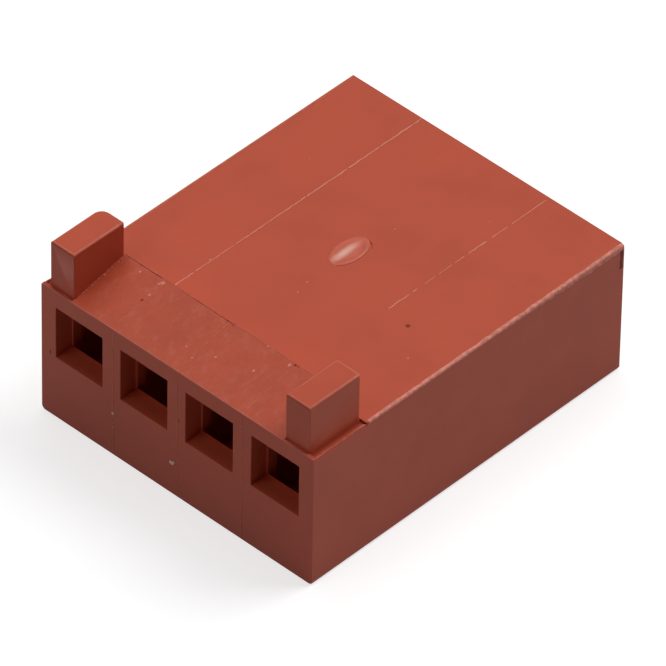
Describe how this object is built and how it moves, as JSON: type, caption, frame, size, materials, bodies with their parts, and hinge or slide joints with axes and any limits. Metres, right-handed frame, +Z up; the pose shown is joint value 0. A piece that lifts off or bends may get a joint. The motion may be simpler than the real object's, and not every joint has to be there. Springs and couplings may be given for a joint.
{
  "type": "wire to board connector housing",
  "caption": "Single-row female connector housing with square pin entries, a locking ramp, polarising tabs and open contact cavities.",
  "frame": {"origin": "centre of the footprint on the underside", "axes": "+Z up out of the face that carries the tabs and ramp, -Y out of the mating face, +Y out of the wire end, X along the row of positions"},
  "size_m": [0.0106, 0.0126, 0.0064],
  "materials": {
    "housing_plastic": "satin moulded nylon, brick red"
  },
  "bodies": {
    "root": {"housing": "housing_plastic"}
  },
  "joints": []
}
